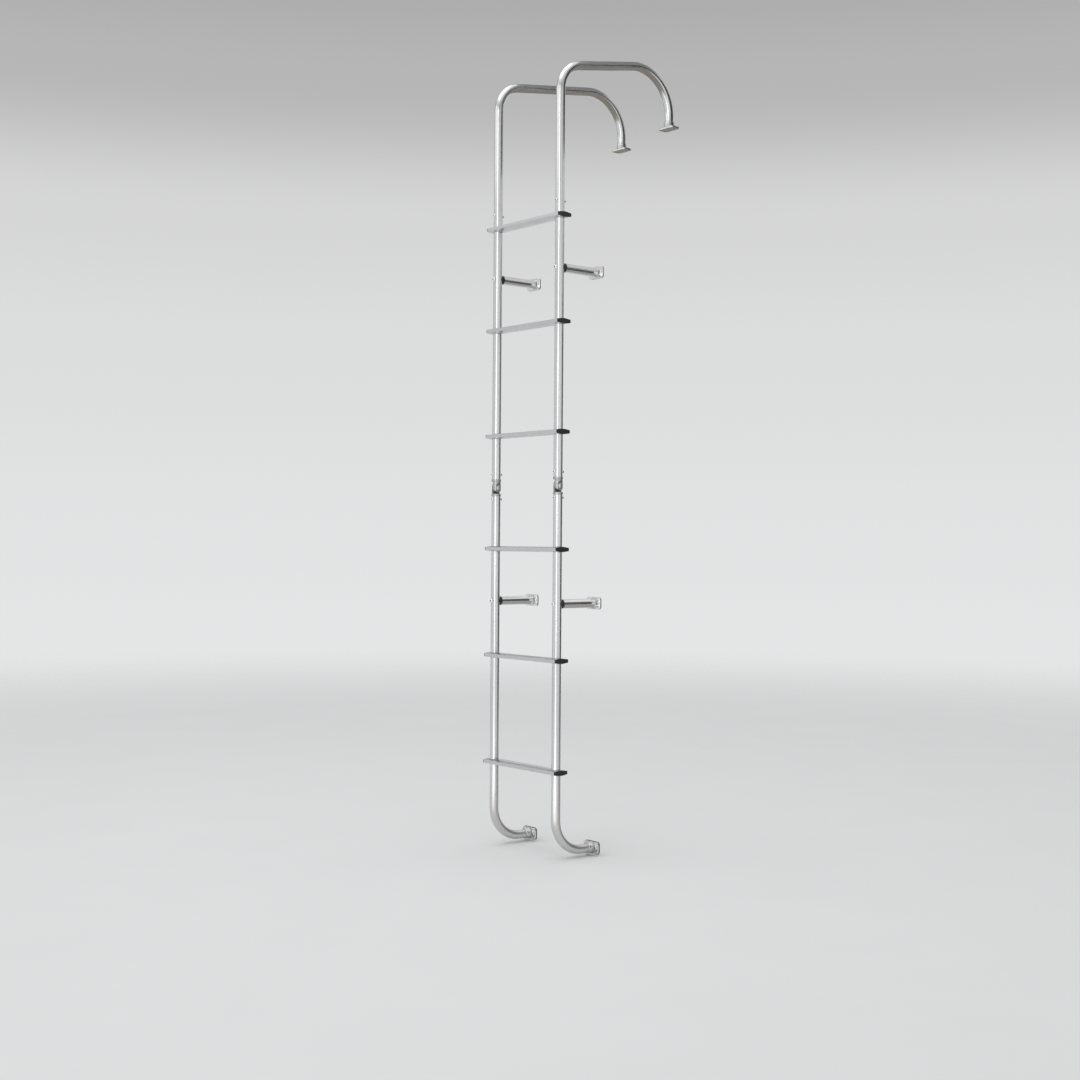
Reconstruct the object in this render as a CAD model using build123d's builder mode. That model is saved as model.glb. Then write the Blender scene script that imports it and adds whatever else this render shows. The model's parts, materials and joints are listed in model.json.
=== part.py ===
from build123d import *
import os
from math import atan2, degrees, radians, tan

# A rear wall ladder for a motorhome: two bent tube rails in an upper and a lower
# section, joined by a knuckle hinge in each rail, with six hollow treads, four
# stand-offs to the wall, two feet at the bottom and two handrails over the roof.
# Frame: +X along the wall to the right, +Y into the wall, +Z up, millimetres.
# The origin is the middle of the upper left stand-off's flange, on the wall face.

# Tube and overall layout
tube_od = 25.4
tube_wall = 1.65
rail_spacing = 275.0
rail_standoff = 137.0
seat_gap = 0.15

# Heights
handrail_joint_z = 163.0
upper_standoff_z = 0.0
hinge_z = -600.0
lower_standoff_z = -925.0
foot_z = -1608.0
roof_z = 450.0
upper_step_z = (143.0, -149.0, -452.0)
lower_step_z = (-775.0, -1081.0, -1387.0)

# Handrails
swage_length = 40.0
swage_taper = 3.0
handrail_corner_z = 554.0
handrail_front_bend = 80.0
handrail_rear_bend = 122.0
left_handrail_reach = 480.0
left_handrail_rise = 8.7
right_handrail_reach = 414.0
right_handrail_rise = 10.8

# Foot bend of the lower rails
foot_bend = 90.0

# Treads and their end caps
step_depth = 47.0
step_thickness = 14.6
step_edge = 9.0
step_crown = 10.0
step_corner = 1.2
step_wall = 2.0
step_overhang = 19.0
groove_count = 4
groove_pitch = 3.4
groove_width = 1.2
groove_depth = 0.6
cap_thickness = 2.5
cap_plug_depth = 5.0
cap_plug_gap = 0.15
cap_edge = 0.6
cap_rim = 2.2
cap_recess = 0.7

# Wall stand-offs and their rubber saddles
saddle_thickness = 4.3
saddle_od = 25.0
standoff_od = 25.4
standoff_wall = 3.2
standoff_flare = 28.0
standoff_flare_od = 33.0

# Flanges of stand-offs and feet
flange_length = 58.0
flange_height = 34.0
flange_corner = 8.0
flange_thickness = 5.0
flange_edge = 1.2
screw_spacing = 43.0
screw_hole = 5.5
socket_depth = 22.0
socket_od = 29.0
socket_floor = 2.0
socket_edge = 0.8
gasket_thickness = 2.3
gasket_margin = 0.8

# Knuckle hinge
knuckle_shoulder = 17.5
knuckle_collar = 7.0
knuckle_collar_od = 27.5
knuckle_spigot = 30.0
knuckle_slit = 0.3
knuckle_edge = 0.8
knuckle_flat = 8.0
knuckle_flat_width = 17.0
knuckle_flat_rise = 5.5
pin_od = 8.0
pin_gap = 0.05
pin_head_od = 13.0
pin_head = 3.6
pin_head_rim = 1.0

# Derived sizes
tube_r = tube_od / 2
bore_r = tube_r - tube_wall
rail_y = -rail_standoff
knuckle_reach = knuckle_shoulder + knuckle_collar
saddle_y = rail_y + tube_r + saddle_thickness
rails = (("left", 0.0), ("right", rail_spacing))
handrails = (
    ("left", 0.0, left_handrail_reach, left_handrail_rise),
    ("right", rail_spacing, right_handrail_reach, right_handrail_rise),
)
standoffs = (("upper", upper_standoff_z), ("lower", lower_standoff_z))
step_heights = upper_step_z + lower_step_z
tread_corners = (
    (-step_depth / 2, -step_edge / 2),
    (-step_crown / 2, -step_thickness / 2),
    (step_crown / 2, -step_thickness / 2),
    (step_depth / 2, -step_edge / 2),
    (step_depth / 2, step_edge / 2),
    (step_crown / 2, step_thickness / 2),
    (-step_crown / 2, step_thickness / 2),
    (-step_depth / 2, step_edge / 2),
)

os.makedirs("parts", exist_ok=True)


def tube_section():
    """Draw the ring of a rail tube in the current sketch."""
    Circle(tube_r)
    Circle(bore_r, mode=Mode.SUBTRACT)


def flange_section(margin=0.0):
    """Draw a flange outline with its two screw holes in the current sketch."""
    RectangleRounded(flange_length + 2 * margin, flange_height + 2 * margin, flange_corner + margin)
    with Locations((-screw_spacing / 2, 0), (screw_spacing / 2, 0)):
        Circle(screw_hole / 2, mode=Mode.SUBTRACT)


def save(piece, name):
    """Label a finished piece and write it to its own file."""
    piece.part.label = name
    export_step(piece.part, f"parts/{name}.step")


# Handrails: one tube each, up from the joint, over the roof edge and down to the roof
for side, rail_x, reach, rise in handrails:
    rear_y = rail_y + reach
    rear_corner_z = handrail_corner_z + reach * tan(radians(rise))
    with BuildPart() as handrail:
        with BuildLine(Plane.YZ.offset(rail_x)) as handrail_route:
            FilletPolyline(
                (rail_y, handrail_joint_z),
                (rail_y, handrail_corner_z),
                (rear_y, rear_corner_z),
                (rear_y, roof_z + socket_floor),
                radius=[handrail_front_bend, handrail_rear_bend],
            )
        with BuildSketch(Plane((rail_x, rail_y, handrail_joint_z))):
            tube_section()
        sweep(path=handrail_route.wire())
    save(handrail, f"{side}_handrail")

# Upper rails: straight tubes with a swaged upper end that the handrail slips over
swage_r = bore_r - seat_gap
swage_bore_r = swage_r - tube_wall
upper_rail_end_z = hinge_z + knuckle_reach
for side, rail_x in rails:
    rail_axis = Axis((rail_x, rail_y, 0), (0, 0, 1))
    with BuildPart() as upper_rail:
        with BuildSketch(Plane((rail_x, rail_y, 0), x_dir=(1, 0, 0), z_dir=(0, -1, 0))):
            with BuildLine():
                Polyline(
                    (bore_r, upper_rail_end_z),
                    (tube_r, upper_rail_end_z),
                    (tube_r, handrail_joint_z),
                    (swage_r, handrail_joint_z),
                    (swage_r, handrail_joint_z + swage_length),
                    (swage_bore_r, handrail_joint_z + swage_length),
                    (swage_bore_r, handrail_joint_z - tube_wall),
                    (bore_r, handrail_joint_z - tube_wall - swage_taper),
                    close=True,
                )
            make_face()
        revolve(axis=rail_axis)
    save(upper_rail, f"{side}_upper_rail")

# Lower rails: straight below the hinge, then bent to the wall and into the foot
foot_seat_y = -gasket_thickness - socket_floor
for side, rail_x in rails:
    lower_rail_top_z = hinge_z - knuckle_reach
    with BuildPart() as lower_rail:
        with BuildLine(Plane.YZ.offset(rail_x)) as lower_route:
            FilletPolyline(
                (rail_y, lower_rail_top_z),
                (rail_y, foot_z),
                (foot_seat_y, foot_z),
                radius=foot_bend,
            )
        with BuildSketch(Plane((rail_x, rail_y, lower_rail_top_z), z_dir=(0, 0, -1))):
            tube_section()
        sweep(path=lower_route.wire())
    save(lower_rail, f"{side}_lower_rail")

# Treads: hollow extrusions with a low crown and grooved tops that both rails pass through
step_length = rail_spacing + 2 * step_overhang
slope_run = (step_depth - step_crown) / 2
slope_drop = (step_thickness - step_edge) / 2
slope_angle = degrees(atan2(slope_drop, slope_run))
slope_middle = ((step_depth + step_crown) / 4, (step_thickness + step_edge) / 4)
with BuildSketch() as tread_outline:
    Polygon(*tread_corners, align=None)
    fillet(tread_outline.vertices(), step_corner)
for number, step_z in enumerate(step_heights, start=1):
    with BuildPart() as step:
        with BuildSketch(Plane((-step_overhang, rail_y, step_z), x_dir=(0, 1, 0), z_dir=(1, 0, 0))):
            add(tread_outline.sketch)
            offset(amount=-step_wall, mode=Mode.SUBTRACT)
            with Locations(
                Location((slope_middle[0], slope_middle[1], 0), (0, 0, -slope_angle)),
                Location((-slope_middle[0], slope_middle[1], 0), (0, 0, slope_angle)),
            ):
                with GridLocations(groove_pitch, groove_pitch, groove_count, 1):
                    Rectangle(groove_width, 2 * groove_depth, mode=Mode.SUBTRACT)
        extrude(amount=step_length)
        with BuildSketch(Plane((0, rail_y, step_z - step_thickness))):
            with Locations((0, 0), (rail_spacing, 0)):
                Circle(tube_r + seat_gap)
        extrude(amount=2 * step_thickness, mode=Mode.SUBTRACT)
    save(step, f"step_{number}")

# End caps: a rimmed plate over each end of a tread with a short plug inside it
for number, step_z in enumerate(step_heights, start=1):
    for side, end_x, outward in (
        ("left", -step_overhang, -1),
        ("right", rail_spacing + step_overhang, 1),
    ):
        end_plane = Plane((end_x, rail_y, step_z), x_dir=(0, 1, 0), z_dir=(1, 0, 0))
        with BuildPart() as cap:
            with BuildSketch(end_plane):
                add(tread_outline.sketch)
            extrude(amount=outward * cap_thickness)
            outer_face = cap.faces().sort_by(Axis.X)[-1 if outward > 0 else 0]
            chamfer(outer_face.edges(), cap_edge)
            with BuildSketch(end_plane.offset(outward * cap_thickness)):
                add(tread_outline.sketch)
                offset(amount=-cap_rim, mode=Mode.REPLACE)
            extrude(amount=-outward * cap_recess, mode=Mode.SUBTRACT)
            with BuildSketch(end_plane):
                add(tread_outline.sketch)
                offset(amount=-step_wall - cap_plug_gap, mode=Mode.REPLACE)
            extrude(amount=-outward * cap_plug_depth)
        save(cap, f"step_{number}_{side}_cap")

# Stand-offs: a tube that flares into a screw flange on the wall
for level, standoff_z in standoffs:
    for side, rail_x in rails:
        centre = (rail_x, 0, standoff_z)
        with BuildPart() as standoff:
            with BuildSketch(Plane(centre, x_dir=(1, 0, 0), z_dir=(0, 1, 0))):
                flange_section()
            extrude(amount=-flange_thickness)
            fillet(standoff.faces().sort_by(Axis.Y)[0].outer_wire().edges(), flange_edge)
            with BuildSketch(Plane(centre)):
                with BuildLine():
                    Line((0, saddle_y), (standoff_od / 2, saddle_y))
                    Line((standoff_od / 2, saddle_y), (standoff_od / 2, -standoff_flare))
                    TangentArc(
                        (standoff_od / 2, -standoff_flare),
                        (standoff_flare_od / 2, -flange_thickness / 2),
                        tangent=(0, 1),
                    )
                    Line((standoff_flare_od / 2, -flange_thickness / 2), (0, -flange_thickness / 2))
                    Line((0, -flange_thickness / 2), (0, saddle_y))
                make_face()
            revolve(axis=Axis(centre, (0, 1, 0)))
            with BuildSketch(Plane((rail_x, saddle_y, standoff_z), x_dir=(1, 0, 0), z_dir=(0, 1, 0))):
                Circle(standoff_od / 2 - standoff_wall)
            extrude(amount=-saddle_y - flange_thickness, mode=Mode.SUBTRACT)
        save(standoff, f"{level}_{side}_standoff")

# Saddles: rubber pads between a stand-off and its rail, hollowed to the tube
for level, standoff_z in standoffs:
    for side, rail_x in rails:
        with BuildPart() as saddle:
            with BuildSketch(Plane((rail_x, saddle_y, standoff_z), x_dir=(1, 0, 0), z_dir=(0, -1, 0))):
                Circle(saddle_od / 2)
            extrude(amount=saddle_thickness + tube_r)
            with BuildSketch(Plane((rail_x, rail_y, standoff_z - saddle_od))):
                Circle(tube_r + seat_gap)
            extrude(amount=2 * saddle_od, mode=Mode.SUBTRACT)
        save(saddle, f"{level}_{side}_saddle")

# Feet: flared sockets that take the lower rails at the wall and the handrails at the roof
feet = []
for side, rail_x, reach, rise in handrails:
    wall_seat = (rail_x, -gasket_thickness, foot_z)
    roof_seat = (rail_x, rail_y + reach, roof_z)
    feet.append((f"{side}_wall_foot", Plane(wall_seat, x_dir=(1, 0, 0), z_dir=(0, -1, 0))))
    feet.append((f"{side}_roof_foot", Plane(roof_seat, x_dir=(1, 0, 0), z_dir=(0, 0, 1))))
for foot_name, seat in feet:
    foot_axis = Axis(seat.origin, seat.z_dir)
    with BuildPart() as foot:
        with BuildSketch(seat):
            flange_section()
        extrude(amount=flange_thickness)
        fillet(foot.faces().sort_by(foot_axis)[-1].outer_wire().edges(), flange_edge)
        with BuildSketch(Plane(seat.origin, x_dir=seat.x_dir, z_dir=-seat.y_dir)):
            with BuildLine():
                Polyline(
                    (0, flange_thickness / 2),
                    (0, socket_depth),
                    (socket_od / 2 - socket_edge, socket_depth),
                    (socket_od / 2, socket_depth - socket_edge),
                )
                TangentArc(
                    (socket_od / 2, socket_depth - socket_edge),
                    (standoff_flare_od / 2, flange_thickness / 2),
                    tangent=(0, -1),
                )
                Line((standoff_flare_od / 2, flange_thickness / 2), (0, flange_thickness / 2))
            make_face()
        revolve(axis=foot_axis)
        with BuildSketch(seat.offset(socket_floor)):
            Circle(tube_r + seat_gap)
        extrude(amount=socket_depth, mode=Mode.SUBTRACT)
    save(foot, foot_name)

# Gaskets: rubber under the two wall feet
for side, rail_x in rails:
    with BuildPart() as gasket:
        with BuildSketch(Plane((rail_x, 0, foot_z), x_dir=(1, 0, 0), z_dir=(0, -1, 0))):
            flange_section(gasket_margin)
        extrude(amount=gasket_thickness)
    save(gasket, f"{side}_foot_gasket")

# Knuckles: a plug in the tube, a collar and half of a lapped round tongue
collar_r = knuckle_collar_od / 2
spigot_r = bore_r - seat_gap
spigot_end = knuckle_reach + knuckle_spigot
flat_slot = knuckle_flat_rise + tube_od
for side, rail_x in rails:
    pin_centre = (rail_x, rail_y, hinge_z)
    for half, base in (
        ("upper", Plane(pin_centre, x_dir=(1, 0, 0), z_dir=(0, 0, 1))),
        ("lower", Plane(pin_centre, x_dir=(-1, 0, 0), z_dir=(0, 0, -1))),
    ):
        side_plane = Plane(base.origin, x_dir=base.y_dir, z_dir=base.x_dir)
        with BuildPart() as knuckle:
            with BuildSketch(base.offset(-tube_r)):
                Circle(tube_r)
                with Locations(((knuckle_slit - tube_od) / 2, 0)):
                    Rectangle(tube_od, 2 * tube_od, mode=Mode.SUBTRACT)
            extrude(amount=tube_r + knuckle_shoulder)
            with BuildSketch(side_plane):
                Circle(tube_r)
                with Locations((0, knuckle_shoulder / 2)):
                    Rectangle(tube_od, knuckle_shoulder)
            extrude(amount=tube_od, both=True, mode=Mode.INTERSECT)
            with BuildSketch(side_plane.offset(knuckle_flat)):
                with Locations((0, knuckle_flat_rise - flat_slot / 2)):
                    SlotCenterToCenter(flat_slot, knuckle_flat_width, rotation=90)
            extrude(amount=tube_r, mode=Mode.SUBTRACT)
            with BuildSketch(side_plane):
                Circle(pin_od / 2 + pin_gap)
            extrude(amount=tube_r, mode=Mode.SUBTRACT)
            with BuildSketch(Plane(pin_centre, x_dir=base.x_dir, z_dir=-base.y_dir)):
                Polygon(
                    (0, knuckle_shoulder),
                    (collar_r - knuckle_edge, knuckle_shoulder),
                    (collar_r, knuckle_shoulder + knuckle_edge),
                    (collar_r, knuckle_reach - knuckle_edge),
                    (collar_r - knuckle_edge, knuckle_reach),
                    (spigot_r, knuckle_reach),
                    (spigot_r, spigot_end - knuckle_edge),
                    (spigot_r - knuckle_edge, spigot_end),
                    (0, spigot_end),
                    align=None,
                )
            revolve(axis=Axis(pin_centre, base.z_dir))
        save(knuckle, f"{side}_{half}_knuckle")

# Pivot bolts of the knuckles, with a domed head at each end
head_seat = knuckle_flat + seat_gap
head_shoulder = head_seat + pin_head_rim
head_top = head_seat + pin_head
for side, rail_x in rails:
    pin_plane = Plane((rail_x, rail_y, hinge_z), x_dir=(1, 0, 0), z_dir=(0, -1, 0))
    with BuildPart() as pin:
        with BuildSketch(pin_plane):
            with BuildLine():
                TangentArc((-head_top, 0), (-head_shoulder, pin_head_od / 2), tangent=(0, 1))
                Polyline(
                    (-head_shoulder, pin_head_od / 2),
                    (-head_seat, pin_head_od / 2),
                    (-head_seat, pin_od / 2),
                    (head_seat, pin_od / 2),
                    (head_seat, pin_head_od / 2),
                    (head_shoulder, pin_head_od / 2),
                )
                TangentArc((head_top, 0), (head_shoulder, pin_head_od / 2), tangent=(0, 1))
                Line((head_top, 0), (-head_top, 0))
            make_face()
        revolve(axis=Axis(pin_plane.origin, pin_plane.x_dir))
    save(pin, f"{side}_hinge_pin")
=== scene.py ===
# %% [markdown]
# # A rear ladder of bent tube
# The real ladder is two bent aluminium tubes with six hollow treads between them. A
# knuckle hinge in each rail lets the lower section swing out. Its solid parts arrive here
# as a fixed frame, so their shape is left alone. This lesson gives each part its finish,
# adds the bolts, nuts and screws, and sets up the camera and the light.

# %% Load the frame
import json
from math import cos, pi, radians, sin, tan, tau

import bmesh
import bpy
from mathutils import Matrix, Vector


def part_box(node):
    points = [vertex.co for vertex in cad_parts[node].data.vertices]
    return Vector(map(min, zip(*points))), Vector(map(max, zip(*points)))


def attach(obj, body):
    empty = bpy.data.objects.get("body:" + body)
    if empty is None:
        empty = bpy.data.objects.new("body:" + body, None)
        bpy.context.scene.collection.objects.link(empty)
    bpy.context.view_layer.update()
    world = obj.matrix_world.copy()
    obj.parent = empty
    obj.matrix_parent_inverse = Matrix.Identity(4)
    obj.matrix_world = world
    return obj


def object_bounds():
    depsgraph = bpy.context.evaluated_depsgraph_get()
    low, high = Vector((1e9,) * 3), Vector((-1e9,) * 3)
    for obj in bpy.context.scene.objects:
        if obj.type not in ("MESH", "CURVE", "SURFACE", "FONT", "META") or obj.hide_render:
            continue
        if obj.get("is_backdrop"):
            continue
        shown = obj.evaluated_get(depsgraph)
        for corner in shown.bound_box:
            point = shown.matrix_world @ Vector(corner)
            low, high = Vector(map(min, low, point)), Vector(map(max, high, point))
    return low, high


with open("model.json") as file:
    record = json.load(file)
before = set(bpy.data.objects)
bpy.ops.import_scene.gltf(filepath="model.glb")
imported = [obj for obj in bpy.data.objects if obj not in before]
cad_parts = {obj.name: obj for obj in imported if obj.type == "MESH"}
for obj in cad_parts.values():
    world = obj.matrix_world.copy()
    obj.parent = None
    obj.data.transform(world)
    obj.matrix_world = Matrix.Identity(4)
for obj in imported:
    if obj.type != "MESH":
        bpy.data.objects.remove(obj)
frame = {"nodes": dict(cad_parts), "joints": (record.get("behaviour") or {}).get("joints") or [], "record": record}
cad_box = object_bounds()
scene = bpy.context.scene
scene.view_settings.view_transform = "Standard"
print("solid parts:", len(frame["nodes"]), "size in metres:", tuple(cad_box[1] - cad_box[0]))

# %% [markdown]
# ## Camera
# The picture is taken from the right of the ladder, at about half its height and nearly
# level, so the treads above the eye show their undersides and those below show their
# tops. The focal length was found from how the tread spacing shrinks with distance. It is
# kept in pixels of a square picture, because that is how it was measured, and turned into
# millimetres for the lens.

# %% Camera
picture_pixels = 1080
focal_pixels = 1561.3
sensor_mm = 36.0
eye = Vector((3.5455, -2.9082, -0.7554))
turn = radians(50.37)
tilt = radians(0.08)
roll = radians(0.42)

lens = bpy.data.cameras.new("ladder_lens")
lens.sensor_fit = "HORIZONTAL"
lens.sensor_width = sensor_mm
lens.lens = focal_pixels / picture_pixels * sensor_mm
lens.clip_end = 200.0
camera = bpy.data.objects.new("ladder_camera", lens)
camera.matrix_world = (
    Matrix.Translation(eye)
    @ Matrix.Rotation(turn, 4, "Z")
    @ Matrix.Rotation(pi / 2 + tilt, 4, "X")
    @ Matrix.Rotation(roll, 4, "Z")
)
scene.collection.objects.link(camera)
scene.camera = camera
print("lens in mm:", round(lens.lens, 2))

# %% [markdown]
# ## Helpers for shader nodes
# Every finish below is a small network of shader nodes. Adding a node, setting its
# options and joining its inputs takes many lines each time, so one helper does all
# three: an input that is given a socket is linked, and one that is given a value is set.
# Three short ones are built on it, for a sum, for a mix of two colours and for a new finish.


# %% Node helpers
def add_node(tree, kind, inputs=None, **options):
    """Add a shader node, set its options, and set or link its inputs by name or number."""
    node = tree.nodes.new(kind)
    for option, value in options.items():
        setattr(node, option, value)
    for name, value in (inputs or {}).items():
        if isinstance(value, bpy.types.NodeSocket):
            tree.links.new(value, node.inputs[name])
        else:
            node.inputs[name].default_value = value
    return node


def maths(tree, operation, *values, **options):
    """Add a Math node for an operation on values or sockets and give back its result."""
    node = add_node(tree, "ShaderNodeMath", dict(enumerate(values)), operation=operation, **options)
    return node.outputs["Value"]


def mix_colours(tree, factor, first, second):
    """Mix two colours by a factor; each one is a socket or red, green and blue."""
    ends = {}
    for end, colour in (("A", first), ("B", second)):
        ends[end] = colour if isinstance(colour, bpy.types.NodeSocket) else (*colour, 1.0)
    return add_node(tree, "ShaderNodeMix", {"Factor": factor, **ends}, data_type="RGBA").outputs["Result"]


def new_finish(name):
    """Make a material and give it back with its node tree and its Principled shader."""
    material = bpy.data.materials.new(name)
    material.use_nodes = True
    tree = material.node_tree
    return material, tree, tree.nodes["Principled BSDF"]


slot_names = {node.material_slots[0].name for node in frame["nodes"].values()}
print("helpers ready for", len(slot_names), "finishes")

# %% [markdown]
# ## Floor
# A plain pale floor carries the ladder's shadow. It could be a huge plane, but then its
# far edge would draw a line across the picture. This one is a disc whose alpha falls to
# nothing towards the rim, so it melts into the background from every side.

# %% Floor
ladder_middle = (cad_box[0] + cad_box[1]) / 2
ladder_foot = cad_box[0].z
floor_drop = 0.004
floor_radius = 9.0
floor_solid = 0.25

disc = bmesh.new()
bmesh.ops.create_circle(disc, cap_ends=True, radius=floor_radius, segments=96)
floor_mesh = bpy.data.meshes.new("studio_floor")
disc.to_mesh(floor_mesh)
disc.free()
floor = bpy.data.objects.new("studio_floor", floor_mesh)
floor.location = (ladder_middle.x, ladder_middle.y, ladder_foot - floor_drop)
scene.collection.objects.link(floor)
floor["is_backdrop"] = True

floor_finish, tree, shader = new_finish("pale_floor")
place = add_node(tree, "ShaderNodeTexCoord").outputs["Object"]
from_middle = add_node(tree, "ShaderNodeVectorMath", {0: place}, operation="LENGTH").outputs["Value"]
fade = add_node(
    tree,
    "ShaderNodeMapRange",
    {
        "Value": from_middle,
        "From Min": floor_solid * floor_radius,
        "From Max": floor_radius,
        "To Min": 1.0,
        "To Max": 0.0,
    },
    interpolation_type="SMOOTHERSTEP",
).outputs["Result"]
mottle = add_node(tree, "ShaderNodeTexNoise", {"Vector": place, "Scale": 3.0, "Detail": 4.0}).outputs["Fac"]
floor_colour = mix_colours(tree, mottle, (0.74, 0.745, 0.75), (0.77, 0.775, 0.78))
tree.links.new(floor_colour, shader.inputs["Base Color"])
tree.links.new(fade, shader.inputs["Alpha"])
shader.inputs["Roughness"].default_value = 0.7
shader.inputs["Specular IOR Level"].default_value = 0.0
floor_mesh.materials.append(floor_finish)
print("floor at height", round(floor.location.z, 4))

# %% [markdown]
# ## Background
# Behind the ladder hangs a studio backdrop: mid grey at the top, paler lower down, and
# above it a wide bank of soft light. Metal shows what is around it, so this backdrop is
# also most of what the tubes look like. A colour ramp over the height of the view
# direction gives it from every side alike.

# %% Background
backdrop_stops = (
    (0.00, (0.80, 0.805, 0.81, 1.0)),
    (0.47, (0.78, 0.785, 0.79, 1.0)),
    (0.50, (0.76, 0.765, 0.77, 1.0)),
    (0.56, (0.72, 0.723, 0.726, 1.0)),
    (0.60, (0.67, 0.671, 0.673, 1.0)),
    (0.64, (0.47, 0.47, 0.47, 1.0)),
    (0.67, (0.41, 0.41, 0.41, 1.0)),
    (0.73, (0.42, 0.42, 0.42, 1.0)),
    (0.83, (0.90, 0.90, 0.90, 1.0)),
    (1.00, (0.95, 0.95, 0.95, 1.0)),
)
world = bpy.data.worlds.new("studio")
world.use_nodes = True
scene.world = world
tree = world.node_tree
direction = add_node(tree, "ShaderNodeTexCoord").outputs["Generated"]
height = add_node(tree, "ShaderNodeSeparateXYZ", {"Vector": direction}).outputs["Z"]
share = add_node(tree, "ShaderNodeMapRange", {"Value": height, "From Min": -1.0, "From Max": 1.0})
ramp = add_node(tree, "ShaderNodeValToRGB", {"Fac": share.outputs["Result"]})
ramp.color_ramp.interpolation = "EASE"
while len(ramp.color_ramp.elements) < len(backdrop_stops):
    ramp.color_ramp.elements.new(0.5)
for stop, (position, colour) in zip(ramp.color_ramp.elements, backdrop_stops):
    stop.position = position
    stop.color = colour
tree.links.new(ramp.outputs["Color"], tree.nodes["Background"].inputs["Color"])
print("backdrop stops:", len(backdrop_stops))

# %% [markdown]
# ## Lamps
# On a round tube a lamp shows as a stripe. The bright stripe in the picture lies a little
# left of the middle of each rail, which puts a tall soft key lamp about twenty degrees to
# the left of the camera. A narrower spread keeps its light off the floor, and a lamp that
# lies on the floor in front of it carries the stripe on round the lower bends. The others
# fill in softly from the right, from the left and from overhead.

# %% Lamps
towards_eye = Vector((eye.x - ladder_middle.x, eye.y - ladder_middle.y, 0.0)).normalized()
key_angle = -21


def studio_place(angle, distance, height):
    """Give a point round the ladder, at an angle to the right of the camera's direction."""
    sideways = Matrix.Rotation(radians(angle), 3, "Z") @ towards_eye
    return Vector((ladder_middle.x, ladder_middle.y, height)) + distance * sideways


def on_axis(height):
    """Give the point in the middle of the ladder at a height."""
    return studio_place(0, 0, height)


def hang(thing, place, target):
    """Put a lamp or card at a place, facing a target and out of the camera's sight."""
    thing.location = place
    thing.rotation_euler = (target - place).to_track_quat("-Z", "Y").to_euler()
    thing.visible_camera = False
    scene.collection.objects.link(thing)


def add_lamp(name, place, target, width, tall, watts, spread=180):
    """Hang a soft rectangular lamp whose light spreads over so many degrees."""
    lamp = bpy.data.lights.new(name, "AREA")
    lamp.shape = "RECTANGLE"
    lamp.size = width
    lamp.size_y = tall
    lamp.energy = watts
    lamp.spread = radians(spread)
    hang(bpy.data.objects.new(name, lamp), place, target)


ladder_low = on_axis(-0.6)
floor_lamp_place = studio_place(key_angle, 2.3, ladder_foot + 0.17)
floor_lamp_target = studio_place(key_angle, 2.2, ladder_foot + 1.2)
add_lamp("key_lamp", studio_place(key_angle, 4.0, 0.5), on_axis(0.4), 1.2, 3.4, 8.0, spread=110)
add_lamp("fill_lamp", studio_place(24, 4.5, 0.4), ladder_low, 2.4, 3.0, 4.4)
add_lamp("side_lamp", studio_place(-70, 3.6, 1.7), on_axis(0.2), 4.6, 1.3, 13.0)
add_lamp("top_lamp", studio_place(-60, 0.9, 2.9), ladder_low, 2.4, 2.4, 22.0)
add_lamp("floor_lamp", floor_lamp_place, floor_lamp_target, 1.0, 3.4, 10.0)
print("lamps:", len(bpy.data.lights))

# %% [markdown]
# ## Cards
# Cards do for the metal what a photographer's flags do: they are there to be reflected.
# Dark ones on the right and beside the handrails give the bright tubes a dark rim, so that
# they read against the pale background. Grey ones over and under the handrails, behind the
# ladder and on the floor tone the bars, the treads' undersides and the bends, and a pale
# one behind lightens the tops of the lower treads. The camera does not see the cards, and
# they throw no shadow. Their backs are pale, so that other views stay light.

# %% Cards
pale_back = (0.85, 0.85, 0.85)
felt_unevenness = 0.1
down = Vector((0.0, 0.0, -1.0))


def add_card(name, place, target, width, tall, shade):
    """Hang a card for the metal to reflect: its shade towards the target and pale behind."""
    panel = bmesh.new()
    bmesh.ops.create_grid(panel, x_segments=1, y_segments=1, size=0.5)
    bmesh.ops.scale(panel, vec=(width, tall, 1.0), verts=panel.verts)
    card_mesh = bpy.data.meshes.new(name)
    panel.to_mesh(card_mesh)
    panel.free()
    card_finish, tree, shader = new_finish(name)
    cloth = add_node(tree, "ShaderNodeTexNoise", {"Scale": 60.0}).outputs["Fac"]
    darker = [part * (1 - felt_unevenness) for part in shade]
    lighter = [part * (1 + felt_unevenness) for part in shade]
    facing = add_node(tree, "ShaderNodeNewGeometry").outputs["Backfacing"]
    card_colour = mix_colours(tree, facing, pale_back, mix_colours(tree, cloth, darker, lighter))
    tree.links.new(card_colour, shader.inputs["Base Color"])
    shader.inputs["Roughness"].default_value = 0.9
    card_mesh.materials.append(card_finish)
    card = bpy.data.objects.new(name, card_mesh)
    hang(card, place, target)
    card.visible_shadow = False
    card.visible_diffuse = False
    card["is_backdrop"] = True


beside_bars = Vector((0.79, 0.69, 0.75))
over_bars = Vector((0.25, 0.43, 0.95))
under_bars = Vector((-0.08, 0.52, 0.35))
beside_feet = studio_place(105, 1.35, ladder_foot)
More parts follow.
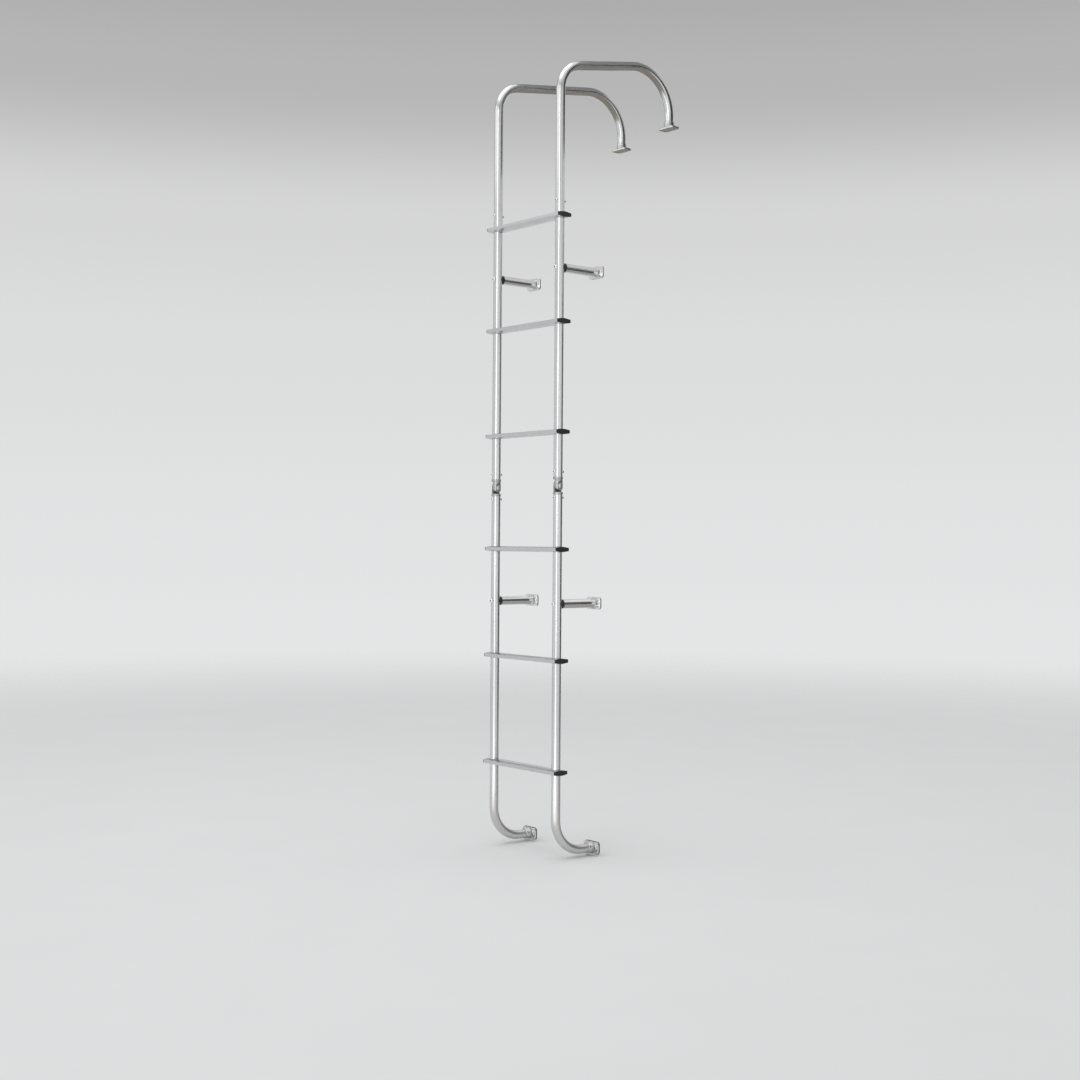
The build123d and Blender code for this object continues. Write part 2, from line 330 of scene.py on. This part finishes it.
cards = (
    ("side_card", studio_place(100, 2.4, -0.64), ladder_low, 2.7, 2.0, (0.11, 0.11, 0.11)),
    ("side_top_card", studio_place(108, 2.4, 0.62), on_axis(0.62), 1.9, 0.5, (0.42, 0.42, 0.42)),
    ("bar_card", beside_bars, Vector((0.14, 0.14, 0.75)), 1.1, 0.36, (0.02, 0.02, 0.02)),
    ("back_card", studio_place(180, 3.0, -0.43), on_axis(-0.45), 1.6, 0.56, (0.50, 0.50, 0.50)),
    ("tread_card", studio_place(199, 1.67, -0.31), on_axis(-1.23), 1.1, 1.4, (0.90, 0.90, 0.90)),
    ("rear_card", studio_place(-140, 3.2, -0.3), ladder_low, 2.4, 3.0, (0.50, 0.50, 0.50)),
    ("upper_card", over_bars, over_bars + down, 1.8, 0.62, (0.31, 0.31, 0.31)),
    ("lower_card", under_bars, under_bars - down, 1.65, 0.95, (0.25, 0.235, 0.20)),
    ("floor_card", beside_feet, beside_feet - down, 2.0, 2.0, (0.40, 0.39, 0.38)),
)
for name, place, target, width, tall, shade in cards:
    add_card(name, place, target, width, tall, shade)
print("cards:", len(cards))

# %% [markdown]
# ## Drawn lines
# Tube is drawn through a die and treads are pressed through one. Both come out with long
# fine lines, and a satin brush adds more. The group squeezes the coordinates along the
# length of the part, so that ordinary noise is stretched into lines. For the rails only
# the sideways coordinate is kept. Each rail bends within one upright plane, so lines that
# depend on that coordinate alone follow the tube round its bends.

# %% Group: drawn lines
coarse_share = 0.22


def new_group(name, inputs, outputs):
    """Start a shader node group; inputs are (name, kind, start value), outputs (name, kind)."""
    group = bpy.data.node_groups.new(name, "ShaderNodeTree")
    for socket, kind, value in inputs:
        made = group.interface.new_socket(socket, in_out="INPUT", socket_type=kind)
        made.default_value = value
    for socket, kind in outputs:
        group.interface.new_socket(socket, in_out="OUTPUT", socket_type=kind)
    start = add_node(group, "NodeGroupInput").outputs
    end = add_node(group, "NodeGroupOutput").inputs
    return group, start, end


drawn_lines, given, result = new_group(
    "drawn_lines",
    (
        ("Squeeze", "NodeSocketVector", (1.0, 0.002, 0.002)),
        ("Lines per metre", "NodeSocketFloat", 1500.0),
    ),
    (("Height", "NodeSocketFloat"), ("Streaks", "NodeSocketFloat")),
)
place = add_node(drawn_lines, "ShaderNodeTexCoord").outputs["Object"]
squeezed = add_node(
    drawn_lines, "ShaderNodeVectorMath", {0: place, 1: given["Squeeze"]}, operation="MULTIPLY"
).outputs["Vector"]
fine = add_node(
    drawn_lines,
    "ShaderNodeTexNoise",
    {"Vector": squeezed, "Scale": given["Lines per metre"], "Detail": 3.0, "Roughness": 0.65},
).outputs["Fac"]
coarse_scale = maths(drawn_lines, "MULTIPLY", given["Lines per metre"], coarse_share)
coarse = add_node(
    drawn_lines, "ShaderNodeTexNoise", {"Vector": squeezed, "Scale": coarse_scale, "Detail": 2.0}
).outputs["Fac"]
drawn_lines.links.new(fine, result["Height"])
drawn_lines.links.new(coarse, result["Streaks"])
print("group:", drawn_lines.name)

# %% [markdown]
# ## Handling marks
# Metal that is climbed on is never evenly clean. Hands and rain leave cloudy patches that
# are a little duller than the rest. Detailed noise that is bent by its own distortion looks
# like wiped patches, where plain noise looks like clouds. The mask is 1 in a mark.

# %% Group: handling marks
limit_without_cover = 0.85
mark_softness = 0.3

handling_marks, given, result = new_group(
    "handling_marks",
    (("Marks per metre", "NodeSocketFloat", 14.0), ("Cover", "NodeSocketFloat", 0.5)),
    (("Mask", "NodeSocketFloat"),),
)
place = add_node(handling_marks, "ShaderNodeTexCoord").outputs["Object"]
patches = add_node(
    handling_marks,
    "ShaderNodeTexNoise",
    {
        "Vector": place,
        "Scale": given["Marks per metre"],
        "Detail": 6.0,
        "Roughness": 0.62,
        "Distortion": 1.2,
    },
).outputs["Fac"]
limit = maths(handling_marks, "SUBTRACT", limit_without_cover, given["Cover"])
limit_end = maths(handling_marks, "ADD", limit, mark_softness)
mask = add_node(
    handling_marks,
    "ShaderNodeMapRange",
    {"Value": patches, "From Min": limit, "From Max": limit_end},
    interpolation_type="SMOOTHSTEP",
).outputs["Result"]
handling_marks.links.new(mask, result["Mask"])
print("group:", handling_marks.name)

# %% [markdown]
# ## Grain of a casting or moulding
# The knuckles and feet are castings, and the caps and saddles are moulded. Their skin is
# finely pebbled: rounded cells of slightly different size. A smooth Voronoi texture gives
# the cells and a little noise keeps them from looking like a pattern.

# %% Group: cast grain
tone_share = 0.12

cast_grain, given, result = new_group(
    "cast_grain",
    (("Grains per metre", "NodeSocketFloat", 900.0),),
    (("Height", "NodeSocketFloat"), ("Tone", "NodeSocketFloat")),
)
place = add_node(cast_grain, "ShaderNodeTexCoord").outputs["Object"]
cells = add_node(
    cast_grain,
    "ShaderNodeTexVoronoi",
    {"Vector": place, "Scale": given["Grains per metre"], "Smoothness": 0.7},
    feature="SMOOTH_F1",
).outputs["Distance"]
tone_scale = maths(cast_grain, "MULTIPLY", given["Grains per metre"], tone_share)
tone = add_node(
    cast_grain,
    "ShaderNodeTexNoise",
    {"Vector": place, "Scale": tone_scale, "Detail": 5.0, "Roughness": 0.6},
).outputs["Fac"]
uneven = maths(cast_grain, "MULTIPLY", cells, tone)
cast_grain.links.new(uneven, result["Height"])
cast_grain.links.new(tone, result["Tone"])
print("group:", cast_grain.name)

# %% [markdown]
# ## Edge wear
# Edges are rubbed first. A Bevel node looks up the normal as if every edge were rounded,
# and where that differs from the true normal there is an edge. Breaking the mask up with
# noise makes it wear and not an outline.

# %% Group: edge wear
edge_wear, given, result = new_group(
    "edge_wear",
    (("Radius", "NodeSocketFloat", 0.0008),),
    (("Mask", "NodeSocketFloat"),),
)
rounded = add_node(edge_wear, "ShaderNodeBevel", {"Radius": given["Radius"]}, samples=6).outputs["Normal"]
true_normal = add_node(edge_wear, "ShaderNodeNewGeometry").outputs["Normal"]
agree = add_node(
    edge_wear, "ShaderNodeVectorMath", {0: rounded, 1: true_normal}, operation="DOT_PRODUCT"
).outputs["Value"]
edge = add_node(
    edge_wear,
    "ShaderNodeMapRange",
    {"Value": agree, "From Min": 0.995, "From Max": 0.85, "To Min": 0.0, "To Max": 1.0},
).outputs["Result"]
place = add_node(edge_wear, "ShaderNodeTexCoord").outputs["Object"]
broken = add_node(
    edge_wear, "ShaderNodeTexNoise", {"Vector": place, "Scale": 260.0, "Detail": 4.0}
).outputs["Fac"]
patchy = add_node(
    edge_wear, "ShaderNodeMapRange", {"Value": broken, "From Min": 0.35, "From Max": 0.65}
).outputs["Result"]
worn = maths(edge_wear, "MULTIPLY", edge, patchy)
edge_wear.links.new(worn, result["Mask"])
print("group:", edge_wear.name)

# %% [markdown]
# ## Painted shade in hollows
# Shade is painted into the colour where a point is closed in: under bolt heads, round the
# treads and in the gap of a hinge. The Ambient Occlusion node tells how closed in a point
# is within a given reach. The mask is 0 in the open and near 1 in a hollow.

# %% Group: painted hollow shade
hollow_shade, given, result = new_group(
    "hollow_shade",
    (("Reach", "NodeSocketFloat", 0.008),),
    (("Mask", "NodeSocketFloat"),),
)
# The mask says where shade is painted into the colour.
openness = add_node(
    hollow_shade, "ShaderNodeAmbientOcclusion", {"Distance": given["Reach"]}, samples=6
).outputs["AO"]
closed_in = add_node(
    hollow_shade,
    "ShaderNodeMapRange",
    {"Value": openness, "From Min": 0.80, "From Max": 0.35, "To Min": 0.0, "To Max": 0.9},
).outputs["Result"]
hollow_shade.links.new(closed_in, result["Mask"])
print("group:", hollow_shade.name)

# %% [markdown]
# ## Joining up a finish
# The metals are all built alike: two colours mixed by a pattern, a roughness that follows
# the same pattern, and both changed where a mark lies. Plastic and rubber need the same
# joins with other numbers. So one function does the joining, and each finish below is only
# its own pattern, colours and ranges. In a hollow the metal gets painted shade: its colour
# is darkened, and it also turns rough and loses its metallic shine.

# %% Joining up
# Colour and roughness of the shade painted into hollows.
hollow_shade_colour = (0.020, 0.019, 0.017)
hollow_shade_roughness = 0.7
finishes = {}


def use_group(tree, group, inputs):
    """Place a node group in a finish with its own values and give back its outputs."""
    return add_node(tree, "ShaderNodeGroup", inputs, node_tree=group).outputs


def mix_values(tree, factor, first, second):
    """Mix two numbers by a factor; each one is a socket or a value."""
    return add_node(tree, "ShaderNodeMix", {"Factor": factor, "A": first, "B": second}).outputs["Result"]


def join_finish(
    tree, shader, pattern, marks, relief, colours, roughness, bump, shade_reach=None, back_edge_shade=None
):
    """Join a pattern, its marks and a relief to a shader; metals also get painted shade in hollows.

    colours and roughness hold the value at the pattern's low end, at its high end and in a
    mark; bump holds the strength and the depth in metres; the last one, a mask, adds more
    painted shade.
    """
    colour = mix_colours(tree, pattern, colours[0], colours[1])
    colour = mix_colours(tree, marks, colour, colours[2])
    rough = add_node(
        tree, "ShaderNodeMapRange", {"Value": pattern, "To Min": roughness[0], "To Max": roughness[1]}
    ).outputs["Result"]
    rough = mix_values(tree, marks, rough, roughness[2])
    # Painted shade: hollows are darkened, made rough and made not metallic.
    if shade_reach:
        painted_shade = use_group(tree, hollow_shade, {"Reach": shade_reach})["Mask"]
        if back_edge_shade:
            painted_shade = maths(tree, "MAXIMUM", painted_shade, back_edge_shade)
        colour = mix_colours(tree, painted_shade, colour, hollow_shade_colour)
        rough = mix_values(tree, painted_shade, rough, hollow_shade_roughness)
        tree.links.new(maths(tree, "SUBTRACT", 1.0, painted_shade), shader.inputs["Metallic"])
    tree.links.new(colour, shader.inputs["Base Color"])
    tree.links.new(rough, shader.inputs["Roughness"])
    lift = add_node(tree, "ShaderNodeBump", {"Strength": bump[0], "Distance": bump[1], "Height": relief})
    tree.links.new(lift.outputs["Normal"], shader.inputs["Normal"])


# %% [markdown]
# ## Satin tube
# The rails are drawn aluminium tube with a satin skin: bright, a little soft, with faint
# lines along it. The lines use the sideways coordinate only, as explained above. Marks are
# kept faint, because a strong one would break the long highlight that makes it a tube. The
# lowest bends are duller all round, from years of spray off the road. That film is a second
# layer of marks, let in by height.

# %% Finish: satin tube
faint_share = 0.35
spray_top = -1.40
spray_full = -1.55

finishes["tube"], tree, shader = new_finish("satin_tube")
lines = use_group(tree, drawn_lines, {"Squeeze": (1.0, 0.002, 0.002), "Lines per metre": 450.0})
marks = use_group(tree, handling_marks, {"Marks per metre": 8.0, "Cover": 0.40})["Mask"]
faint = maths(tree, "MULTIPLY", marks, faint_share)
spray = use_group(tree, handling_marks, {"Marks per metre": 45.0, "Cover": 0.72})["Mask"]
place = add_node(tree, "ShaderNodeTexCoord").outputs["Object"]
height = add_node(tree, "ShaderNodeSeparateXYZ", {"Vector": place}).outputs["Z"]
low_down = add_node(
    tree,
    "ShaderNodeMapRange",
    {"Value": height, "From Min": spray_top, "From Max": spray_full},
    interpolation_type="SMOOTHSTEP",
).outputs["Result"]
film = maths(tree, "MULTIPLY", spray, low_down)
join_finish(
    tree,
    shader,
    lines["Streaks"],
    maths(tree, "MAXIMUM", faint, film),
    lines["Height"],
    colours=((0.71, 0.715, 0.725), (0.75, 0.755, 0.76), (0.665, 0.66, 0.65)),
    roughness=(0.17, 0.22, 0.38),
    bump=(0.02, 0.0001),
    shade_reach=0.004,
)
print("finish:", finishes["tube"].name)

# %% [markdown]
# ## Grooved tread
# The treads are pressed through a die, so their lines run along the tread and not round
# it. They are a shade greyer than the rails and duller, because they are walked on.

# %% Finish: grooved tread
finishes["tread"], tree, shader = new_finish("grooved_tread")
lines = use_group(tree, drawn_lines, {"Squeeze": (0.004, 1.0, 1.0), "Lines per metre": 500.0})
marks = use_group(tree, handling_marks, {"Marks per metre": 16.0, "Cover": 0.30})["Mask"]
join_finish(
    tree,
    shader,
    lines["Streaks"],
    marks,
    lines["Height"],
    colours=((0.62, 0.625, 0.635), (0.69, 0.695, 0.70), (0.60, 0.60, 0.595)),
    roughness=(0.26, 0.33, 0.38),
    bump=(0.03, 0.0001),
    shade_reach=0.003,
)
print("finish:", finishes["tread"].name)

# %% [markdown]
# ## Bright chrome
# The stand-offs are plated and show a nearly clear picture of the room. Plating is never
# quite flat: a very shallow, slow waviness bends the reflections, and that is what tells
# the eye that it is metal and not a mirror. The back of a flange is not polished, since it
# is covered once it is screwed on. A thin dark line round its back edge is painted shadow,
# the shade where the flange meets what it is screwed to. Both are let in by depth, from the
# flange's back face at zero.

# %% Finish: bright chrome
# Depths of the line of painted shadow round the flange's back edge.
flange_back = -0.0003
back_edge_shade_start = -0.0023
back_edge_shade_full = -0.0015
back_edge_shade_fray = 0.0010

finishes["standoff"], tree, shader = new_finish("bright_chrome")
grain = use_group(tree, cast_grain, {"Grains per metre": 120.0})
marks = use_group(tree, handling_marks, {"Marks per metre": 30.0, "Cover": 0.36})["Mask"]
faint = maths(tree, "MULTIPLY", marks, faint_share)
place = add_node(tree, "ShaderNodeTexCoord").outputs["Object"]
depth = add_node(tree, "ShaderNodeSeparateXYZ", {"Vector": place}).outputs["Y"]
back_face = maths(tree, "GREATER_THAN", depth, flange_back)
# The painted shadow line is frayed by the grain and ends at the back face.
ragged = maths(tree, "MULTIPLY_ADD", grain["Tone"], back_edge_shade_fray, depth)
near_back = add_node(
    tree, "ShaderNodeMapRange", {"Value": ragged, "From Min": back_edge_shade_start, "From Max": back_edge_shade_full}
).outputs["Result"]
join_finish(
    tree,
    shader,
    grain["Tone"],
    maths(tree, "MAXIMUM", faint, back_face),
    grain["Height"],
    colours=((0.77, 0.77, 0.78), (0.83, 0.83, 0.835), (0.60, 0.60, 0.595)),
    roughness=(0.04, 0.09, 0.50),
    bump=(0.04, 0.001),
    shade_reach=0.008,
    back_edge_shade=maths(tree, "SUBTRACT", near_back, back_face, use_clamp=True),
)
print("finish:", finishes["standoff"].name)

# %% [markdown]
# ## Cast feet
# The feet are castings that were polished, so they are close to the rails in colour, with
# a finer and softer skin. Their rims are brighter where cloths and tools rub them.

# %% Finish: cast foot
finishes["foot"], tree, shader = new_finish("cast_foot")
grain = use_group(tree, cast_grain, {"Grains per metre": 700.0})
rubbed = use_group(tree, edge_wear, {"Radius": 0.0012})["Mask"]
join_finish(
    tree,
    shader,
    grain["Tone"],
    rubbed,
    grain["Height"],
    colours=((0.64, 0.64, 0.645), (0.74, 0.74, 0.745), (0.86, 0.86, 0.86)),
    roughness=(0.20, 0.30, 0.14),
    bump=(0.06, 0.0003),
    shade_reach=0.004,
)
print("finish:", finishes["foot"].name)

# %% [markdown]
# ## Tumbled knuckles
# The knuckles are plain castings, tumbled but not polished: mid grey, matt in the hollows
# and bright along the edges that were rubbed. The same two groups as on the feet are used
# with finer grain and a darker pair of colours. A long reach paints deep shade into the gap
# of the hinge.

# %% Finish: tumbled knuckle
finishes["knuckle"], tree, shader = new_finish("tumbled_knuckle")
grain = use_group(tree, cast_grain, {"Grains per metre": 1100.0})
rubbed = use_group(tree, edge_wear, {"Radius": 0.0010})["Mask"]
join_finish(
    tree,
    shader,
    grain["Tone"],
    rubbed,
    grain["Height"],
    colours=((0.42, 0.42, 0.425), (0.54, 0.54, 0.545), (0.74, 0.74, 0.74)),
    roughness=(0.32, 0.46, 0.24),
    bump=(0.15, 0.0003),
    shade_reach=0.020,
)
print("finish:", finishes["knuckle"].name)

# %% [markdown]
# ## Bright zinc
# The pivot bolts, the other bolts and the screws are bright zinc on steel: whiter than the
# castings, with a slight cloudiness and dull marks where a tool has turned them.

# %% Finish: bright zinc
finishes["pivot_bolt"], tree, shader = new_finish("bright_zinc")
grain = use_group(tree, cast_grain, {"Grains per metre": 500.0})
marks = use_group(tree, handling_marks, {"Marks per metre": 160.0, "Cover": 0.42})["Mask"]
join_finish(
    tree,
    shader,
    grain["Tone"],
    marks,
    grain["Height"],
    colours=((0.74, 0.74, 0.75), (0.84, 0.84, 0.845), (0.62, 0.62, 0.61)),
    roughness=(0.14, 0.22, 0.34),
    bump=(0.05, 0.0002),
    shade_reach=0.004,
)
print("finish:", finishes["pivot_bolt"].name)

# %% [markdown]
# ## Shaded nut steel
# The nuts sit behind the rails. Their colour is a darker grey than the parts they hold, as
# painted shade for that place behind the tubes, and only the corners that a spanner touches
# stay bright. The groups are those of the castings, at the scale of a nut.

# %% Finish: shaded nut steel
shaded_nut_steel, tree, shader = new_finish("shaded_nut_steel")
grain = use_group(tree, cast_grain, {"Grains per metre": 900.0})
rubbed = use_group(tree, edge_wear, {"Radius": 0.0005})["Mask"]
join_finish(
    tree,
    shader,
    grain["Tone"],
    rubbed,
    grain["Height"],
    colours=((0.34, 0.335, 0.33), (0.46, 0.455, 0.45), (0.62, 0.62, 0.62)),
    roughness=(0.20, 0.32, 0.18),
    bump=(0.08, 0.0002),
    shade_reach=0.004,
)
print("finish:", shaded_nut_steel.name)

# %% [markdown]
# ## Black plastic and rubber
# The end caps are moulded plastic with a fine grain, greyer on the edges that shoes have
# rubbed. The saddles and gaskets are rubber: duller, and dusty in patches. Neither is
# truly black, because real black plastic still returns one or two parts in a hundred.

# %% Finishes: cap plastic and rubber
finishes["end_cap"], tree, shader = new_finish("cap_plastic")
grain = use_group(tree, cast_grain, {"Grains per metre": 1400.0})
rubbed = use_group(tree, edge_wear, {"Radius": 0.0009})["Mask"]
join_finish(
    tree,
    shader,
    grain["Tone"],
    rubbed,
    grain["Height"],
    colours=((0.010, 0.010, 0.011), (0.018, 0.018, 0.019), (0.060, 0.060, 0.060)),
    roughness=(0.38, 0.50, 0.60),
    bump=(0.25, 0.0003),
)
finishes["rubber"], tree, shader = new_finish("saddle_rubber")
grain = use_group(tree, cast_grain, {"Grains per metre": 800.0})
dust = use_group(tree, handling_marks, {"Marks per metre": 70.0, "Cover": 0.40})["Mask"]
join_finish(
    tree,
    shader,
    grain["Tone"],
    dust,
    grain["Height"],
    colours=((0.009, 0.009, 0.009), (0.015, 0.015, 0.015), (0.030, 0.029, 0.028)),
    roughness=(0.55, 0.68, 0.80),
    bump=(0.20, 0.0004),
)
print("finishes:", finishes["end_cap"].name, finishes["rubber"].name)

# %% [markdown]
# ## Dressing the solid parts
# Each solid part already carries the name of the finish it should have, so the finishes
# go on by that name. The parts' own meshes are not touched.

# %% Dress the solid parts
for node in frame["nodes"].values():
    for slot in node.material_slots:
        slot.material = finishes[slot.material.name]
print("dressed:", len(frame["nodes"]))

# %% [markdown]
# ## Turned shapes
# Bolts, nuts and screws are all rings round an axis. Some rings are round, the outside of
# a nut or the socket in a bolt is six sided, and the recess in a screw is a cross. A lathe
# makes round rings only, so this helper asks for the form of every ring and joins each
# ring to the next. The step count is a multiple of six and of four, and the cross has its
# inner corners on a step, so that every corner comes out sharp.

# %% Turned shapes
mm = 0.001
ring_steps = 72
cross_corner = radians(20)
sharp_from = radians(32)


def ring_reach(form, size, angle):
    """Give how far a ring of this form lies from its axis, at an angle."""
    if form == "six_sided":
        return size / cos(angle % (tau / 6) - tau / 12)
    if form == "cross":
        across = max(abs(cos(angle)), abs(sin(angle)))
        along = min(abs(cos(angle)), abs(sin(angle)))
        return min(size / across, size * tan(cross_corner) / max(along, 1e-6))
    return size


def turned(name, finish, rings):
    """Make a closed mesh from rings of (form, size, height), all in millimetres."""
    shape = bmesh.new()
    loops = []
    for form, size, height in rings:
        loop = []
        for step in range(ring_steps):
            angle = step * tau / ring_steps
            reach = ring_reach(form, size, angle)
            loop.append(shape.verts.new((reach * cos(angle) * mm, reach * sin(angle) * mm, height * mm)))
        loops.append(loop)
    for low, high in zip(loops, loops[1:]):
        for step in range(ring_steps):
            after = (step + 1) % ring_steps
            shape.faces.new((low[step], low[after], high[after], high[step]))
    shape.faces.new(reversed(loops[0]))
    shape.faces.new(loops[-1])
    mesh = bpy.data.meshes.new(name)
    shape.to_mesh(mesh)
    shape.free()
    mesh.shade_smooth()
    mesh.set_sharp_from_angle(angle=sharp_from)
    mesh.materials.append(finish)
    return mesh


def thread(radius, depth, start, length, pitch):
    """Give the rings of a screw thread from a start height, upwards."""
    turns = int(length / pitch)
    rings = []
    for turn_number in range(turns):
        low = start + turn_number * pitch
        rings += [("round", radius - depth, low), ("round", radius, low + pitch / 2)]
    return rings


def dome(radius, rim, height, top, bands=7):
    """Give the rings of a domed head from its rim up to a flat top of about that radius."""
    rings = [("round", radius, 0.0), ("round", radius, rim)]
    top_angle = pi / 2 - (top / radius)
    for band in range(1, bands + 1):
        angle = top_angle * band / bands
        rings.append(("round", radius * cos(angle), rim + (height - rim) * sin(angle) / sin(top_angle)))
    return rings


print("ring steps:", ring_steps)

# %% [markdown]
# ## Bolts, nuts and screws
# Four domed bolts hold the rails to the stand-offs, and smaller ones go right through the
# rails at the handrail joints and the knuckles, each with a lock nut behind. Flanges are
# held by screws with a cross recess. Each kind is made once, and every copy shares its
# mesh. Heights are from the seat, with the head above it and the shank below.

# %% Fastener shapes
bolt_shank = 2.5
rail_bolt_length = 46.0
cross_bolt_length = 32.5
threaded_length = 12.0
thread_pitch = 0.8
thread_depth = 0.35
thread_start = 0.6
tip_height = 0.5
tip_taper = 0.8
socket_size = 2.0
socket_depth = 2.4
socket_land = 0.75
socket_flare = 0.12
flare_depth = 0.15
drill_tip = 0.3
drill_point = 0.5
nut_bore = 2.45
nut_half_width = 4.0
screw_shank = 2.3
screw_head = 3.0


def socket_head(radius, rim, height):
    """Give the rings of a domed head with a six sided socket."""
    return dome(radius, rim, height, socket_size + socket_land) + [
        ("six_sided", socket_size + socket_flare, height),
        ("six_sided", socket_size, height - flare_depth),
        ("six_sided", socket_size, height - socket_depth),
        ("round", drill_tip, height - socket_depth - drill_point),
    ]


def bolt_rings(length, head_radius, head_rim, head_height):
    """Give the rings of a bolt: a threaded end, a plain shank and a domed head."""
    thread_low = -length + thread_start
    return (
        [
            ("round", bolt_shank - tip_taper, -length),
            ("round", bolt_shank - thread_depth, -length + tip_height),
        ]
        + thread(bolt_shank, thread_depth, thread_low, threaded_length, thread_pitch)
        + [("round", bolt_shank, thread_low + threaded_length), ("round", bolt_shank, 0.0)]
        + socket_head(head_radius, head_rim, head_height)
    )


bright_zinc = finishes["pivot_bolt"]
rail_bolt = turned(
    "rail_bolt", bright_zinc, bolt_rings(rail_bolt_length, head_radius=5.8, head_rim=1.2, head_height=6.2)
)
cross_bolt = turned(
    "cross_bolt", bright_zinc, bolt_rings(cross_bolt_length, head_radius=4.4, head_rim=0.9, head_height=4.4)
)
lock_nut = turned(
    "lock_nut",
    shaded_nut_steel,
    [
        ("round", nut_bore, 0.0),
        ("round", 3.75, 0.0),
        ("six_sided", nut_half_width, 0.45),
        ("six_sided", nut_half_width, 3.3),
        ("round", 3.8, 3.9),
        ("round", 3.5, 4.0),
        ("round", 3.3, 4.9),
        ("round", 3.0, 5.2),
        ("round", 2.5, 5.2),
        ("round", nut_bore, 4.6),
    ],
)
flange_screw = turned(
    "flange_screw",
    bright_zinc,
    [("round", 1.6, -4.9)]
    + thread(screw_shank, depth=0.45, start=-4.8, length=4.0, pitch=1.0)
    + [("round", screw_shank, -0.6), ("round", screw_shank, 0.0)]
    + dome(radius=4.7, rim=0.5, height=screw_head, top=2.7)
    + [
        ("cross", 2.35, screw_head),
        ("cross", 2.2, 2.8),
        ("cross", 1.2, 1.2),
        ("round", drill_tip, 0.9),
    ],
)
print("fastener kinds:", [mesh.name for mesh in (rail_bolt, cross_bolt, lock_nut, flange_screw)])

# %% [markdown]
# ## Seating the fasteners
# A fastener has to sit on the part that carries it, seen from any side. So its seat is
# found on the part itself: a ray is sent at the part and the fastener goes where it lands.
# A flat head on a round tube touches only along a line, so heads and nuts are sunk by the
# small amount that the real ones are drawn in. Each is also turned a little further than
# the one before, because no two are ever tightened to the same angle.

# %% Seating
body_of = {}
for body, members in frame["record"]["behaviour"]["bodies"].items():
    for member in members:
        body_of[member] = body
rail_y = frame["joints"][0]["pos_m"][1]
away = 0.05
spin_step = 2.4
placed = []


def seat_on(node, start, direction):
    """Give the point where a ray from a start lands on a solid part."""
    landed, point, _, _ = frame["nodes"][node].ray_cast(start, direction)
    if not landed:
        raise ValueError(f"nothing of {node} under {tuple(start)}")
    return point


def fasten(name, mesh, node, seat, outward, sunk=0.0):
    """Set a fastener on a seat of a solid part, with its head pointing outward."""
    spin = Matrix.Rotation(spin_step * len(placed), 4, "Z")
    upright = outward.to_track_quat("Z", "Y").to_matrix().to_4x4()
    piece = bpy.data.objects.new(name, mesh)
    piece.matrix_world = Matrix.Translation(seat - sunk * outward) @ upright @ spin
    scene.collection.objects.link(piece)
    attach(piece, body_of[node])
    placed.append(piece)


print("rails stand at y =", rail_y)

# %% [markdown]
# ## Stand-off bolts
# At each stand-off a domed bolt goes through the front of the rail. The saddles give their
# places: each bolt is on the far side of the tube from a saddle.

# %% Stand-off bolts
front = Vector((0.0, -1.0, 0.0))
back = -front
head_sink = 1.2 * mm
for side in ("left", "right"):
    for level in ("upper", "lower"):
        low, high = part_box(f"{level}_{side}_saddle")
        rail = f"{side}_{level}_rail"
        start = Vector(((low.x + high.x) / 2, rail_y - away, (low.z + high.z) / 2))
        fasten(f"{level}_{side}_rail_bolt", rail_bolt, rail, seat_on(rail, start, back), front, head_sink)
print("stand-off bolts:", len(placed))

# %% [markdown]
# ## Through bolts
# The handrail is bolted to the rail below it just above the joint, and each knuckle is
# bolted into its tube a little way from the tube's end. The heads face the climber and the
# nuts sit behind, where they show beside the tube.

# %% Through bolts
handrail_bolt_rise = 20 * mm
upper_bolt_rise = 14 * mm
lower_bolt_drop = 8 * mm
nut_sink = 0.5 * mm
for side in ("left", "right"):
    low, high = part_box(f"{side}_hinge_pin")
    rail_x = (low.x + high.x) / 2
    through = (
        ("handrail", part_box(f"{side}_handrail")[0].z + handrail_bolt_rise),
        ("upper_rail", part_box(f"{side}_upper_rail")[0].z + upper_bolt_rise),
        ("lower_rail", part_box(f"{side}_lower_rail")[1].z - lower_bolt_drop),
    )
    for part, bolt_z in through:
        tube = f"{side}_{part}"
        head_seat = seat_on(tube, Vector((rail_x, rail_y - away, bolt_z)), back)
        nut_seat = seat_on(tube, Vector((rail_x, rail_y + away, bolt_z)), front)
        fasten(f"{tube}_bolt", cross_bolt, tube, head_seat, front, head_sink)
        fasten(f"{tube}_nut", lock_nut, tube, nut_seat, back, nut_sink)
print("fasteners so far:", len(placed))

# %% [markdown]
# ## Flange screws
# Every flange has two screw holes, and the record that came with the frame gives their
# places as a bolt pattern. The seat is looked for beside the hole, since a ray sent down
# the hole itself would go right through.

# %% Flange screws
beside_hole = 3.6 * mm
for mount in frame["record"]["mounts"]:
    if mount["kind"] != "bolt_pattern":
        continue
    flange = mount["name"].removesuffix("_screws")
    inward = Vector(mount["axis"])
    half_spacing = mount["dims"]["spacing_x_mm"] / 2 * mm
    for number, sideways in enumerate((-1, 1), start=1):
        hole = Vector(mount["pos_m"]) + Vector((sideways * half_spacing, 0.0, 0.0))
        beside = hole + Vector((sideways * beside_hole, 0.0, 0.0)) - away * inward
        depth = (seat_on(flange, beside, inward) - hole).dot(inward)
        fasten(f"{flange}_screw_{number}", flange_screw, flange, hole + depth * inward, -inward)
print("fasteners in all:", len(placed))

# %% [markdown]
# ## Sizes and the end
# The fasteners must not make the ladder larger than its solid parts say it is. Both boxes
# are measured, and the last line prints how much larger the whole is than the solid parts.

# %% Sizes and the end
visual_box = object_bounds()
growth = (visual_box[1] - visual_box[0]) - (cad_box[1] - cad_box[0])
print("growth in mm:", [round(side / mm, 2) for side in growth])
